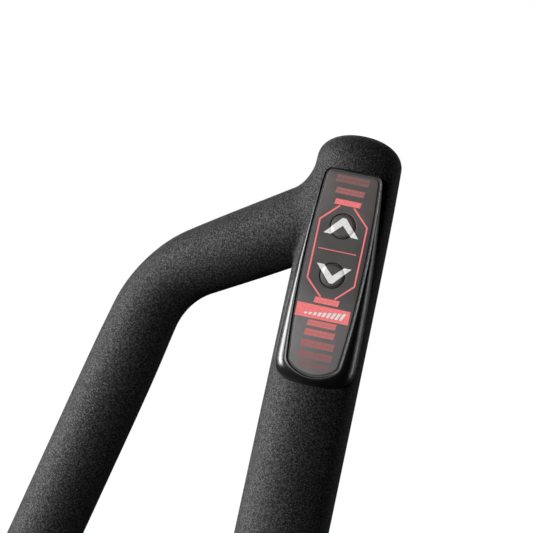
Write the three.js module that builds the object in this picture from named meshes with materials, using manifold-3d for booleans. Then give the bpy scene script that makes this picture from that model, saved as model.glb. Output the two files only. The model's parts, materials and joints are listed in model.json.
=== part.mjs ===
// Left-hand multi-grip handle of a cardio machine, with a two-button incline pod.
//
// A straight steel tube stands in a bolted foot. A thinner bent tube leaves it near the top, to the
// side and a little back, runs down beside it and comes back to it above the foot, so the two close
// a loop for the hand. One seamless soft skin covers both. The control pod sits on the front of the straight tube, wedge
// shaped, in a pocket in the skin, and its lead runs down inside the tube to a connector at the foot.
//
// Millimetres. +Z is up, the pod faces -Y and the loop reaches towards -X. The origin is the centre
// of the foot's underside. "Depth" in the pod is measured along its own normal from its face.
import * as THREE from "three";
import Module from "manifold-3d";
import { mergeVertices } from "three/addons/utils/BufferGeometryUtils.js";

const wasm = await Module();
wasm.setup();

// ---------------------------------------------------------------- driving dimensions

const GAP = 0.3; // between pieces that seat on each other
const THROUGH = 60; // a cutter reaches this far, past both sides of whatever it cuts
const DEEP = 30; // and this far under the pod's face
const ABOVE = 12; // and this far over it
const rad = THREE.MathUtils.degToRad;

// Overall.
const handleHeight = 452; // foot underside to the top of the dome
const steelWall = 1.5;

// Straight tube and its skin.
const mainSteelR = 25.4 / 2;
const domeHeight = 12.6;
const mainSkin = [ // skin thickness over the tube at each distance below the top
  [12.6, 6],
  [30, 6.6],
  [60, 7.05],
  [120, 7.35],
  [180, 7.65],
  [280, 8.1],
];
const skinAboveSteel = 12; // soft material over the tube's plugged end
const topPlug = { head: 3, spigot: 10, edge: 1 };

// Bent tube and its skin.
const branchSteelR = 22.2 / 2;
const branchSkin = 4;
const loopTurn = rad(20); // the bent tube's plane, turned back from straight sideways
const bendR = 44.5; // centreline, about two tube diameters
const upperJoint = 31.1; // below the top, where the two centrelines meet
const upperReach = 82.1; // from the main centreline to the upper corner
const runFall = rad(29.8); // upper run, below horizontal
const legSplay = rad(14); // long leg, outwards from vertical
const lowerJointZ = 118;
const returnRise = rad(18); // lower run, above horizontal going outwards
const filletR = 11; // where the bent skin flows into the straight one

// Foot.
const plate = { wide: 84, deep: 56, thick: 6, corner: 8, boltX: 64, boltY: 36, holeR: 4.25 };
const sleeveWall = 3.5;
const sleeveTop = 62;
const collarHeight = 12;
const crossBolt = { z: [26, 48], r: 4, headR: 7, headHeight: 4.4, nutAcross: 13, nutHeight: 8 };
const arcWasher = { r: 8, thick: 2 };

// Pod: its face is tilted, low at the top and proud at the bottom.
const faceTop = 17; // below the top of the handle
const faceLength = 90.2;
const faceRiseTop = 6.4; // above the steel tube
const faceRiseBottom = 12.8;
const face = { half: 13.5, widest: 5.1, sideR: 450, corner: 3, lowCorner: 1.4, archR: 15.1 };
const rim = { half: 17.5, widest: -38, sideR: 627, corner: 3.4, lowCorner: 8, archR: 80 };
const rimTop = 0.9; // how far the rim runs past the face at the top end
const rimBottom = 4.6; // and at the bottom end
const rimDropTop = 4.5; // depth at which the curved side meets the skin
const rimDropBottom = 15;
const land = 0.6; // flat lip round the face film
const filmThick = 0.5;
const coverFloor = 1.2;
const podWall = 2;
const podSkirt = 6; // how far the wall goes on into the skin before it is trimmed to it
const pocketInset = 2.4; // the skin's pocket, inside the face outline
const baseWall = 1.6;
const baseBottomY = branchSteelR + 2 * GAP; // the feet of the base stop here, clear of the bent tube

// Keys and switches, and the board they stand on.
const key = { r: 5.5, proud: 0.4, flange: 0.9, flangeThick: 0.5, travel: 0.5 };
const keyBelow = [23.6, 45.6]; // up key and down key, from the top of the face
const stem = { r: 1.7, inBody: 1.0 };
const tact = { side: 6, height: 1.8, clear: 0.8 };
const board = { half: 8, beyondKey: 7.5, thick: 1, edge: 0.4 };
const boardScrew = { u: 6.2, r: 0.9, headR: 1.8, headHeight: 1.2, bossR: 2.3, length: 3.4 };
const header = { wide: 7.8, long: 5.2, high: 3, clear: 0.5 };
const plug = { wide: 6.2, long: 6.4, high: 1.8, inside: 3.4 };
const baseScrew = { fromEnd: 8.1, wall: 1.2, r: 2, headR: 3.5, headHeight: 1.7, length: 7 };
const snap = { v: [23, -20], wide: 5, thick: 0.9, long: 3.2, lug: 0.5, lugHigh: 0.8 };

// Lead.
const leadR = 1.75;
const grommet = { belowElbow: 7.9, holeR: 4.5, flangeR: 5.7, flange: 1.2 };
const leadBack = 7; // the lead runs this far behind the axis, clear of the cross bolts
const leadBend = 5;
const connector = { wide: 9, deep: 5.4, high: 13, bottom: 3.5, play: 0.7 };
const connectorCell = { side: 1.7, pitchX: 3.2, pitchY: 2.5, deep: 6 };

// ---------------------------------------------------------------- solids

// A closed manifold-3d solid from a three.js geometry.
function solid(geometry) {
  const bare = new THREE.BufferGeometry();
  bare.setAttribute("position", geometry.getAttribute("position").clone());
  bare.setIndex(geometry.index);
  const merged = mergeVertices(bare, 1e-4);
  const triVerts = new Uint32Array(merged.index.array);
  const vertProperties = merged.attributes.position.array;
  return new wasm.Manifold(new wasm.Mesh({ numProp: 3, vertProperties, triVerts }));
}

// The same solid in another frame.
const moved = (made, matrix) => solid(geometryOf(made).applyMatrix4(matrix));

const join = (first, ...others) => others.reduce((whole, other) => whole.add(other), first);
const cut = (first, ...others) => others.reduce((whole, other) => whole.subtract(other), first);

function geometryOf(made) {
  const { numProp, numVert, vertProperties, triVerts } = made.getMesh();
  const position = new Float32Array(numVert * 3);
  for (let i = 0; i < numVert; i++)
    position.set(vertProperties.subarray(i * numProp, i * numProp + 3), i * 3);
  const geometry = new THREE.BufferGeometry();
  geometry.setAttribute("position", new THREE.BufferAttribute(position, 3));
  geometry.setIndex(new THREE.BufferAttribute(new Uint32Array(triVerts), 1));
  geometry.computeVertexNormals();
  return geometry;
}

// Rings of equal length joined side to side and closed at both ends. section is the ring laid flat.
function loft(rings, section) {
  const n = section.length;
  const faces = [];
  for (let i = 0; i + 1 < rings.length; i++)
    for (let j = 0; j < n; j++) {
      const a = i * n + j;
      const b = i * n + ((j + 1) % n);
      faces.push(a, b, b + n, a, b + n, a + n);
    }
  const last = (rings.length - 1) * n;
  for (const [a, b, c] of THREE.ShapeUtils.triangulateShape(section, []))
    faces.push(a, c, b, last + a, last + b, last + c);
  return new THREE.BufferGeometry().setFromPoints(rings.flat()).setIndex(faces);
}

// A solid of revolution about Z, from [radius, z] pairs.
function turned(profile, segments = 32) {
  const points = profile.map(([r, z]) => new THREE.Vector2(r, z));
  return new THREE.LatheGeometry(points, segments).rotateX(Math.PI / 2);
}

const ringProfile = (inner, outer, from, to) =>
  [[inner, from], [outer, from], [outer, to], [inner, to], [inner, from]];

// A round bar from one end to the other along an axis: "x", "y" or "z", centred on the other two.
function bar(r, axis, from, to, { x = 0, y = 0, z = 0 } = {}, segments = 24) {
  const geometry = new THREE.CylinderGeometry(r, r, to - from, segments);
  geometry.translate(0, (from + to) / 2, 0);
  if (axis === "x") geometry.rotateZ(-Math.PI / 2);
  if (axis === "z") geometry.rotateX(Math.PI / 2);
  return geometry.translate(x, y, z);
}

function block(wide, deep, high, x = 0, y = 0, z = 0) {
  return new THREE.BoxGeometry(wide, deep, high).translate(x, y, z);
}

// Stations along straight runs joined by arcs, all in one upright plane. Corners are (x, z) vectors.
function bentPath(corners, r, stepDegrees = 15) {
  const stations = [];
  const along = (i) => corners[i + 1].clone().sub(corners[i]).normalize();
  stations.push({ at: corners[0], dir: along(0) });
  for (let i = 1; i + 1 < corners.length; i++) {
    const into = along(i - 1);
    const out = along(i);
    const turn = Math.acos(into.dot(out));
    const side = out.clone().addScaledVector(into, -out.dot(into)).normalize();
    const start = corners[i].clone().addScaledVector(into, -r * Math.tan(turn / 2));
    const steps = Math.ceil(turn / rad(stepDegrees));
    for (let k = 0; k <= steps; k++) {
      const a = (turn * k) / steps;
      const at = start.clone().addScaledVector(into, r * Math.sin(a));
      at.addScaledVector(side, r * (1 - Math.cos(a)));
      const dir = into.clone().multiplyScalar(Math.cos(a)).addScaledVector(side, Math.sin(a));
      stations.push({ at, dir });
    }
  }
  stations.push({ at: corners.at(-1), dir: along(corners.length - 2) });
  return stations;
}

// The same stations as a curve that an extrusion can follow.
class BentLine extends THREE.Curve {
  constructor(stations) {
    super();
    this.stations = stations;
  }
  stationAt(u) {
    return this.stations[Math.round(u * (this.stations.length - 1))];
  }
  getPointAt(u) {
    const { at } = this.stationAt(u);
    return new THREE.Vector3(at.x, 0, at.y);
  }
  getTangentAt(u) {
    const { dir } = this.stationAt(u);
    return new THREE.Vector3(dir.x, 0, dir.y);
  }
}

// A round bar along such a path.
function bentBar(stations, r, segments = 20) {
  const section = new THREE.Shape().absarc(0, 0, r, 0, 2 * Math.PI);
  const extrudePath = new BentLine(stations);
  const steps = stations.length - 1;
  return new THREE.ExtrudeGeometry(section, { extrudePath, steps, curveSegments: segments / 2 });
}

// A bar in the bent tube's plane, which is turned back about the straight tube.
const loopBar = (stations, r) => bentBar(stations, r).rotateZ(-loopTurn);

// ---------------------------------------------------------------- places worked out from the above

const gripBottom = sleeveTop + collarHeight + GAP;
const steelTop = handleHeight - skinAboveSteel;
const steelBore = mainSteelR - steelWall;
const sleeveR = mainSteelR + GAP + sleeveWall;
const connectorY = leadBack - 1;

// Centreline corners of the bent tube, from the upper joint round to the lower one.
const upperCornerZ = handleHeight - upperJoint - upperReach * Math.tan(runFall);
const lowerCornerX =
  (upperReach + (upperCornerZ - lowerJointZ) * Math.tan(legSplay)) /
  (1 + Math.tan(returnRise) * Math.tan(legSplay));
const branchCorners = [
  new THREE.Vector2(0, handleHeight - upperJoint),
  new THREE.Vector2(-upperReach, upperCornerZ),
  new THREE.Vector2(-lowerCornerX, lowerJointZ + lowerCornerX * Math.tan(returnRise)),
  new THREE.Vector2(0, lowerJointZ),
];

const gripR = mainSkin.map(([below, thick]) => [below, mainSteelR + thick]);

// The pod's frame: u across, v up the face, w out of it. Its origin is the middle of the face.
const wedge = Math.atan((faceRiseBottom - faceRiseTop) / faceLength);
const podZ = handleHeight - faceTop - faceLength / 2;
const podY = -mainSteelR - (faceRiseTop + faceRiseBottom) / 2;
const halfFace = faceLength / 2 / Math.cos(wedge);
const pod = new THREE.Group();
pod.position.set(0, podY, podZ);
pod.rotation.x = Math.PI / 2 - wedge;
pod.updateMatrixWorld(true);
const intoPod = pod.matrixWorld.clone().invert();

// Depths in the pod, from the face down.
const recessFloor = -(filmThick + GAP);
const coverUnder = recessFloor - coverFloor;
const flangeUnder = coverUnder - GAP - key.flangeThick;
const stemTop = flangeUnder - GAP;
const tactTop = stemTop - tact.clear;
const tactUnder = tactTop - tact.height;
const boardTop = tactUnder - GAP;
const boardUnder = boardTop - board.thick;
const ledge = boardUnder - GAP;
const baseTop = coverUnder - GAP;

// Places along the pod's face, from its middle.
const keyAt = keyBelow.map((below) => halfFace - below);
const boardTopEnd = keyAt[0] + board.beyondKey;
const headerTopEnd = keyAt[1] - key.r - key.flange - header.clear;
const boardBottomEnd = headerTopEnd - header.long - board.edge;
const boardScrewV = (keyAt[0] + keyAt[1]) / 2;
const baseScrewV = halfFace - baseScrew.fromEnd;
const baseEnd = baseScrewV - baseScrew.headR - GAP - baseScrew.wall; // hollow between the screws' blocks
const headerV = headerTopEnd - header.long / 2;
const plugFar = headerV - header.long / 2 + plug.inside - plug.long;

// The lead leaves the plug, turns in the pod and enters the tube.
const plugW = boardTop + GAP + header.high / 2;
const leadStart = new THREE.Vector3(0, plugFar - GAP, plugW).applyMatrix4(pod.matrixWorld);
const leadElbow = new THREE.Vector3(0, plugFar - GAP - leadR, plugW).applyMatrix4(pod.matrixWorld);

// ---------------------------------------------------------------- outlines of the pod

const bezier = (a, b, c, t) => a * (1 - t) * (1 - t) + 2 * b * t * (1 - t) + c * t * t;
const steps = (n) => Array.from({ length: n }, (_, i) => i / n);

// Bowed sides, rounded corners and an arched lower end, anticlockwise from the lower middle.
// grow moves the whole outline outwards.
function outline(shape, top, bottom, grow = 0) {
  const half = shape.half + grow;
  const vTop = top + grow;
  const vBottom = bottom - grow;
  const corner = Math.max(0.6, shape.corner + grow);
  const low = Math.max(0.6, shape.lowCorner + grow);
  const archR = shape.archR + grow;
  const side = (v) => half - (v - shape.widest) ** 2 / (2 * shape.sideR);
  const arch = (u) => vBottom + archR - Math.sqrt(archR * archR - u * u);
  let uLow = side(vBottom);
  for (let i = 0; i < 3; i++) uLow = side(arch(Math.min(uLow, archR)));
  const vLow = arch(uLow);
  const right = [];
  for (const t of steps(4)) right.push([t * (uLow - low), arch(t * (uLow - low))]);
  for (const t of steps(4)) {
    const u = bezier(uLow - low, uLow, side(vLow + low), t);
    right.push([u, bezier(arch(uLow - low), vLow, vLow + low, t)]);
  }
  for (const t of steps(8)) {
    const v = vLow + low + t * (vTop - corner - vLow - low);
    right.push([side(v), v]);
  }
  for (const t of steps(4)) {
    const u = bezier(side(vTop - corner), side(vTop), side(vTop) - corner, t);
    right.push([u, bezier(vTop - corner, vTop, vTop, t)]);
  }
  right.push([side(vTop) - corner, vTop]);
  const left = right.slice(1).reverse().map(([u, v]) => [-u, v]);
  return [...right, ...left].map(([u, v]) => new THREE.Vector2(u, v));
}

const faceOutline = (grow) => outline(face, halfFace, -halfFace, grow);
const faceSide = (v) => face.half - (v - face.widest) ** 2 / (2 * face.sideR);

// A straight-sided slab of an outline between two depths.
function slab(points, from, to) {
  const flat = { depth: to - from, bevelEnabled: false };
  return new THREE.ExtrudeGeometry(new THREE.Shape(points), flat).translate(0, 0, from);
}

// The pod's outer form: flat lip round the face, a side that curves down to the rim, then a skirt.
function podForm(shrink, topDepth, skirt) {
  const lip = faceOutline(GAP + land - shrink);
  const foot = outline(rim, halfFace + rimTop, -halfFace - rimBottom, -shrink);
  const drop = (v) =>
    THREE.MathUtils.mapLinear(v, halfFace, -halfFace, rimDropTop, rimDropBottom) + topDepth;
  const rings = [foot.map((p) => new THREE.Vector3(p.x, p.y, -drop(p.y) - skirt))];
  for (let i = 0; i <= 6; i++) {
    const a = (Math.PI / 2) * (i / 6);
    rings.push(
      lip.map((p, j) => {
        const u = THREE.MathUtils.lerp(p.x, foot[j].x, Math.cos(a));
        const v = THREE.MathUtils.lerp(p.y, foot[j].y, Math.cos(a));
        return new THREE.Vector3(u, v, topDepth - drop(foot[j].y) * (1 - Math.sin(a)));
      }),
    );
  }
  return loft(rings, foot);
}

// ---------------------------------------------------------------- skin

// The straight grip's outer form, as a curve of radius against height, with its domed top.
function gripForm(grow = 0) {
  const stations = gripR.map(([below, r]) => new THREE.Vector2(r, handleHeight - below));
  const crown = new THREE.SplineCurve(stations);
  const profile = [[0, gripBottom - grow]];
  profile.push([gripR.at(-1)[1] - 1.5 + grow, gripBottom - grow]);
  profile.push([gripR.at(-1)[1] + grow, gripBottom + 1.5]);
  for (const p of crown.getPoints(12).reverse()) profile.push([p.x + grow, p.y]);
  const [[, domeR]] = gripR;
  for (let i = 1; i < 8; i++) {
    const a = (Math.PI / 2) * (i / 8);
    const z = handleHeight - domeHeight + (domeHeight + grow) * Math.sin(a);
    profile.push([(domeR + grow) * Math.cos(a), z]);
  }
  profile.push([0, handleHeight + grow]);
  return turned(profile, 40);
}

// The bent grip's skin flows into the straight one: a bar that turns from the run to the main axis.
function fillet(joint, from, endZ, grow) {
  const skinR = branchSteelR + branchSkin;
  const thin = 0.05; // keeps its straight part just inside the bent bar, so the two don't coincide
  const lean = gripR[0][1] - skinR; // keeps the turned-in end inside the straight grip
  const back = joint.clone().sub(from).normalize();
  const corner = joint.clone().addScaledVector(back, -lean / Math.abs(back.x));
  const reach = corner.clone().addScaledVector(back, -2.2 * filletR);
  const end = new THREE.Vector2(corner.x, endZ);
  return loopBar(bentPath([reach, corner, end], skinR + filletR), skinR + grow - thin);
}

// Outer form of the whole skin, grown by a clearance where another piece sits on it.
function skinForm(grow = 0) {
  const skinR = branchSteelR + branchSkin;
  const [upper, upperCorner, lowerCorner, lower] = branchCorners;
  return join(
    solid(gripForm(grow)),
    solid(loopBar(bentPath(branchCorners, bendR), skinR + grow)),
    solid(fillet(upper, upperCorner, handleHeight - domeHeight - 4, grow)),
    solid(fillet(lower, lowerCorner, lower.y - 30, grow)),
  );
}

// The pod sits in the skin: a shallow seat for its cover and, inside that, a deep pocket for its base.
const coverSeat = (grow) => solid(slab(faceOutline(GAP + land + grow), coverUnder - grow, ABOVE));

function makeSkin() {
  const pocket = solid(slab(faceOutline(-pocketInset), -DEEP, ABOVE).applyMatrix4(pod.matrixWorld));
  const behindY = 2 * GAP - baseBottomY + THROUGH / 2; // middle of what lies behind the base's feet
  const behind = solid(block(THROUGH, THROUGH, handleHeight, 0, behindY, handleHeight / 2));
  return cut(
    skinForm(),
    solid(bar(mainSteelR + GAP, "z", 0, steelTop + topPlug.head + GAP, {}, 32)),
    solid(loopBar(bentPath(branchCorners, bendR), branchSteelR + GAP)),
    cut(pocket, behind),
    moved(coverSeat(GAP), pod.matrixWorld),
  );
}

// ---------------------------------------------------------------- steel

const grommetZ = leadElbow.z - grommet.belowElbow;

// Where a base screw stands: it is driven square to the tube, from inside the pod.
const baseScrews = [baseScrewV, -baseScrewV].map((v) => podZ + v * Math.cos(wedge));

function makeMainTube() {
  const tube = solid(turned(ringProfile(steelBore, mainSteelR, plate.thick + GAP, steelTop)));
  const across = crossBolt.z.map((z) => solid(bar(crossBolt.r + GAP, "x", -THROUGH, THROUGH, { z })));
  const tapped = baseScrews.map((z) => solid(bar(baseScrew.r + GAP, "y", -THROUGH, 0, { z })));
  return cut(tube, ...across, ...tapped, solid(bar(grommet.holeR, "y", -THROUGH, 0, { z: grommetZ })));
}

function makeBranchTube() {
  const bend = bentPath(branchCorners, bendR);
  const mitre = solid(bar(mainSteelR + GAP, "z", 0, handleHeight, {}, 32));
  const tube = cut(solid(loopBar(bend, branchSteelR)), mitre);
  return cut(tube, solid(loopBar(bend, branchSteelR - steelWall)));
}

// Keeps the moulding out of the tube's top end: a disc with a spigot.
function makeTopPlug() {
  const { head, spigot: long, edge } = topPlug;
  const spigot = steelBore - GAP;
  return solid(
    turned([
      [0, steelTop - long],
      [spigot - edge, steelTop - long],
      [spigot, steelTop - long + edge],
      [spigot, steelTop + GAP],
      [mainSteelR, steelTop + GAP],
      [mainSteelR, steelTop + head - edge],
      [mainSteelR - edge, steelTop + head],
      [0, steelTop + head],
    ]),
  );
}

// ---------------------------------------------------------------- foot

function roundedBlock(wide, deep, high, corner) {
  const x = wide / 2 - corner;
  const y = deep / 2 - corner;
  const shape = new THREE.Shape();
  shape.absarc(x, y, corner, 0, Math.PI / 2);
  shape.absarc(-x, y, corner, Math.PI / 2, Math.PI);
  shape.absarc(-x, -y, corner, Math.PI, 1.5 * Math.PI);
  shape.absarc(x, -y, corner, 1.5 * Math.PI, 2 * Math.PI);
  return new THREE.ExtrudeGeometry(shape, { depth: high, bevelEnabled: false, curveSegments: 3 });
}

// Four holes for the bolts that hold the handle, and a slot behind the middle for the connector.
function makePlate() {
  const { wide, deep, corner, thick } = plate;
  const holes = [-1, 1].flatMap((i) =>
    [-1, 1].map((j) =>
      solid(bar(plate.holeR, "z", -5, thick + 5, { x: (i * plate.boltX) / 2, y: (j * plate.boltY) / 2 })),
    ),
  );
  const { play } = connector;
  const slot = roundedBlock(connector.wide + 2 * play, connector.deep + 2 * play, thick + 10, 1.5);
  slot.translate(0, connectorY, -5);
  return cut(solid(roundedBlock(wide, deep, thick, corner)), ...holes, solid(slot));
}

function makeSleeve() {
  const sleeve = solid(turned(ringProfile(mainSteelR + GAP, sleeveR, plate.thick + GAP, sleeveTop)));
  const across = crossBolt.z.map((z) => solid(bar(crossBolt.r + GAP, "x", -THROUGH, THROUGH, { z })));
  return cut(sleeve, ...across);
}

// Trim ring from the sleeve's diameter out to the skin's.
function makeCollar() {
  const inner = mainSteelR + GAP;
  const under = sleeveTop + GAP;
  const top = sleeveTop + collarHeight;
  const gripEnd = gripR.at(-1)[1];
  return solid(
    turned([
      [inner, under],
      [sleeveR, under],
      [sleeveR + 0.8, under + 0.8],
      [gripEnd - 0.4, top - 4],
      [gripEnd, top - 3],
      [gripEnd, top - 0.5],
      [gripEnd - 0.5, top],
      [inner, top],
      [inner, under],
    ], 40),
  );
}

// Saddle washers: hollow on one side to sit on the round sleeve, flat on the other for the bolt.
const washerFlat = sleeveR + GAP + arcWasher.thick;
const boltEnd = washerFlat + GAP + crossBolt.nutHeight + 2;

function makeArcWasher(side, z) {
  const ends = [side * 10, side * washerFlat].sort((a, b) => a - b);
  const disc = solid(bar(arcWasher.r, "x", ...ends, { z }));
  const seat = solid(bar(sleeveR + GAP, "z", z - 20, z + 20, {}, 32));
  return cut(disc, seat, solid(bar(crossBolt.r + GAP, "x", -THROUGH, THROUGH, { z })));
}

// Button-head cross bolt with a hexagon socket, its head on the +X side.
function makeCrossBolt(z) {
  const seat = washerFlat + GAP;
  const { r, headR, headHeight } = crossBolt;
  const profile = [
    [0, -boltEnd],
    [r - 0.6, -boltEnd],
    [r, -boltEnd + 0.6],
    [r, seat],
    [headR, seat],
    [headR, seat + 1],
    [headR * 0.86, seat + headHeight * 0.66],
    [headR * 0.6, seat + headHeight],
    [0, seat + headHeight],
  ];
  const bolt = solid(turned(profile, 24).rotateY(Math.PI / 2).translate(0, 0, z));
  const socket = solid(bar(2.9, "x", seat + headHeight - 2.8, seat + headHeight + 5, { z }, 6));
  return cut(bolt, socket);
}

// Self-locking nut on the -X side: a hexagon with the round collar of its insert.
function makeNut(z) {
  const { r, nutAcross, nutHeight } = crossBolt;
  const seat = -(washerFlat + GAP);
  const cornerR = nutAcross / 2 / Math.cos(Math.PI / 6);
  const hexHeight = nutHeight - 1.8;
  const hex = solid(bar(cornerR, "x", seat - hexHeight, seat, { z }, 6));
  const insert = solid(bar(nutAcross / 2 - 0.5, "x", seat - nutHeight, seat - hexHeight + 0.5, { z }));
  return cut(join(hex, insert), solid(bar(r + GAP, "x", -THROUGH, THROUGH, { z })));
}

// ---------------------------------------------------------------- pod

const keyBore = key.r + GAP;

function makeFilm() {
  const holes = keyAt.map((v) => solid(bar(keyBore, "z", -DEEP, ABOVE, { y: v })));
  return cut(solid(slab(faceOutline(0), -filmThick, 0)), ...holes);
}

// Glossy shell: recess for the film on top, saddle underside that sits on the skin, snaps inside.
function makeCover() {
  const shell = cut(solid(podForm(0, 0, podSkirt)), solid(podForm(podWall, coverUnder, 2 * podSkirt)));
  const pocket = solid(slab(faceOutline(-pocketInset), -DEEP, ABOVE));
  const skin = cut(moved(skinForm(GAP), intoPod), pocket, coverSeat(0));
  const recess = solid(slab(faceOutline(GAP), recessFloor, ABOVE));
  const bores = keyAt.map((v) => solid(bar(keyBore, "z", -DEEP, ABOVE, { y: v })));
  const feet = snap.v.flatMap((v) => [-1, 1].map((side) => makeSnap(side, v)));
  return join(cut(shell, skin, recess, ...bores), ...feet);
}

// A snap leg hangs from the cover's floor just inside the base's wall, with a lug at its tip.
function snapFace(v) {
  const narrowest = Math.min(faceSide(v - snap.wide / 2), faceSide(v + snap.wide / 2));
  return narrowest - pocketInset - GAP - baseWall - GAP;
}

function makeSnap(side, v) {
  const { wide, thick, long, lug, lugHigh } = snap;
  const u = snapFace(v) - thick / 2;
  const top = coverUnder + 0.4;
  const leg = block(thick, wide, long + 0.4, side * u, v, top - (long + 0.4) / 2);
  const tip = block(thick + lug, wide, lugHigh, side * (u + lug / 2), v, coverUnder - long + lugHigh / 2);
  return join(solid(leg), solid(tip));
}

// Base: stands in the pocket on the steel tube, carries the board and holds the screws.
function makeBase() {
  const inset = pocketInset + GAP;
  const form = solid(slab(faceOutline(-inset), -DEEP, baseTop));
  const hollow = solid(slab(faceOutline(-inset - baseWall), ledge, ABOVE));
  const between = solid(block(THROUGH, 2 * baseEnd, THROUGH));
  const floorHole = {
    half: board.half - 1.2, // leaves a ledge for the board's edges
    top: boardTopEnd - 2,
    bottom: -baseEnd,
  };
  const under = solid(
    block(
      2 * floorHole.half,
      floorHole.top - floorHole.bottom,
      40,
      0,
      (floorHole.top + floorHole.bottom) / 2,
      ledge - 19.9,
    ),
  );
  const lugZ = coverUnder - snap.long + snap.lugHigh / 2;
  const notches = snap.v.flatMap((v) =>
    [-1, 1].map((side) => {
      const u = side * (snapFace(v) + snap.lug);
      return solid(block(1.6, snap.wide + 1, snap.lugHigh + 2 * GAP, u, v, lugZ));
    }),
  );
  const bosses = [-1, 1].map((side) =>
    solid(bar(boardScrew.bossR, "z", -DEEP, ledge, { x: side * boardScrew.u, y: boardScrewV })),
  );
  const boardHoles = [-1, 1].map((side) =>
    solid(bar(boardScrew.r + GAP, "z", -DEEP, 0, { x: side * boardScrew.u, y: boardScrewV }, 12)),
  );
  const saddle = solid(bar(mainSteelR + GAP, "z", 0, handleHeight, {}, 32).applyMatrix4(intoPod));
  const behindY = THROUGH / 2 - baseBottomY;
  const feetEnd = solid(block(THROUGH, THROUGH, 2 * handleHeight, 0, behindY, 0).applyMatrix4(intoPod));
  const screwHoles = baseScrews.flatMap((z) => [
    solid(bar(baseScrew.r + GAP, "y", -THROUGH, 0, { z }).applyMatrix4(intoPod)),
    solid(bar(baseScrew.headR + GAP, "y", -THROUGH, -baseScrewSeat, { z }).applyMatrix4(intoPod)),
  ]);
  const tray = cut(form, hollow.intersect(between), under);
  return cut(join(tray, ...bosses), ...notches, ...boardHoles, saddle, feetEnd, ...screwHoles);
}

// The screws that hold the base bear on it a little above the steel, both at the same height.
const baseScrewSeat = mainSteelR + GAP + 1.9;

function makeBaseScrew(z) {
  const { r, headR, headHeight, length } = baseScrew;
  const seat = baseScrewSeat + GAP;
  const profile = [
    [0, seat - length],
    [r - 0.8, seat - length],
    [r, seat - length + 1.2],
    [r, seat],
    [headR, seat],
    [headR, seat + headHeight * 0.5],
    [headR * 0.7, seat + headHeight],
    [0, seat + headHeight],
  ];
  const screw = solid(turned(profile, 20).rotateX(Math.PI / 2).translate(0, 0, z));
  const slotBottom = seat + headHeight - 0.9;
  const arm = 1.1;
  const cross = [block(3.6, 2, arm, 0, -slotBottom - 1, z), block(arm, 2, 3.6, 0, -slotBottom - 1, z)];
  return cut(screw, ...cross.map(solid));
}

// A key: a disc that stands through the film and the cover, with a flange that keeps it in.
function makeKey() {
  return solid(
    turned([
      [0, flangeUnder],
      [key.r + key.flange, flangeUnder],
      [key.r + key.flange, flangeUnder + key.flangeThick],
      [key.r, flangeUnder + key.flangeThick],
      [key.r, key.proud - 0.3],
      [key.r - 0.5, key.proud],
      [0, key.proud],
    ], 32),
  );
}

function makeStem() {
  return solid(bar(stem.r, "z", tactTop - stem.inBody, stemTop, {}, 20));
}

function makeTact() {
  const body = solid(block(tact.side, tact.side, tact.height, 0, 0, tactTop - tact.height / 2));
  const well = stem.inBody + key.travel + 0.1;
  return cut(body, solid(bar(stem.r + GAP, "z", tactTop - well, tactTop + 1, {}, 20)));
}

function makeBoard() {
  const long = boardTopEnd - boardBottomEnd;
  const middle = (boardTopEnd + boardBottomEnd) / 2;
  const blank = solid(block(2 * board.half, long, board.thick, 0, middle, boardTop - board.thick / 2));
  const holes = [-1, 1].map((side) =>
    solid(bar(boardScrew.r + GAP, "z", -DEEP, 0, { x: side * boardScrew.u, y: boardScrewV }, 12)),
  );
  return cut(blank, ...holes);
}

function makeBoardScrew(side) {
  const { r, headR, headHeight, length } = boardScrew;
  const seat = boardTop + GAP;
  const profile = [
    [0, seat - length],
    [r, seat - length + 0.6],
    [r, seat],
    [headR, seat],
    [headR, seat + headHeight * 0.6],
    [headR * 0.6, seat + headHeight],
    [0, seat + headHeight],
  ];
  return solid(turned(profile, 12).translate(side * boardScrew.u, boardScrewV, 0));
}

// Header on the board's lower end, open towards the plug.
function makeHeader() {
  const under = boardTop + GAP;
  const shroud = solid(block(header.wide, header.long, header.high, 0, headerV, under + header.high / 2));
  const mouthDeep = plug.inside + GAP;
  const mouth = block(plug.wide + 2 * GAP, mouthDeep, plug.high + 2 * GAP);
  mouth.translate(0, headerV - header.long / 2 + mouthDeep / 2, under + header.high / 2);
  return cut(shroud, solid(mouth));
}

function makePlug() {
  return solid(block(plug.wide, plug.long, plug.high, 0, plugFar + plug.long / 2, plugW));
}

// ---------------------------------------------------------------- lead

// Rubber bush in the tube's wall, its axis along Y.
function makeGrommet() {
  const bore = leadR + GAP;
  const waist = grommet.holeR - GAP;
  const outside = mainSteelR + GAP;
  const inside = Math.sqrt(steelBore ** 2 - grommet.flangeR ** 2) - GAP;
  const profile = [
    [bore, inside - grommet.flange],
    [grommet.flangeR - 0.6, inside - grommet.flange],
    [grommet.flangeR, inside - grommet.flange / 2],
    [grommet.flangeR, inside],
    [waist, inside],
    [waist, outside],
    [grommet.flangeR, outside],
    [grommet.flangeR, outside + grommet.flange / 2],
    [grommet.flangeR - 0.6, outside + grommet.flange],
    [bore, outside + grommet.flange],
    [bore, inside - grommet.flange],
  ];
  return solid(turned(profile, 20).rotateX(Math.PI / 2).translate(0, 0, grommetZ));
}

// From the plug, in through the grommet, across to the back of the bore and down to the foot.
function makeLead() {
  const corners = [
    new THREE.Vector2(leadStart.y, leadStart.z),
    new THREE.Vector2(leadElbow.y, leadElbow.z),
    new THREE.Vector2(leadElbow.y, grommetZ),
    new THREE.Vector2(0, grommetZ),
    new THREE.Vector2(leadBack, grommetZ - 40),
    new THREE.Vector2(leadBack, connector.bottom + connector.high + GAP),
  ];
  return solid(bentBar(bentPath(corners, leadBend, 15), leadR, 14).rotateZ(Math.PI / 2));
}

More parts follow.
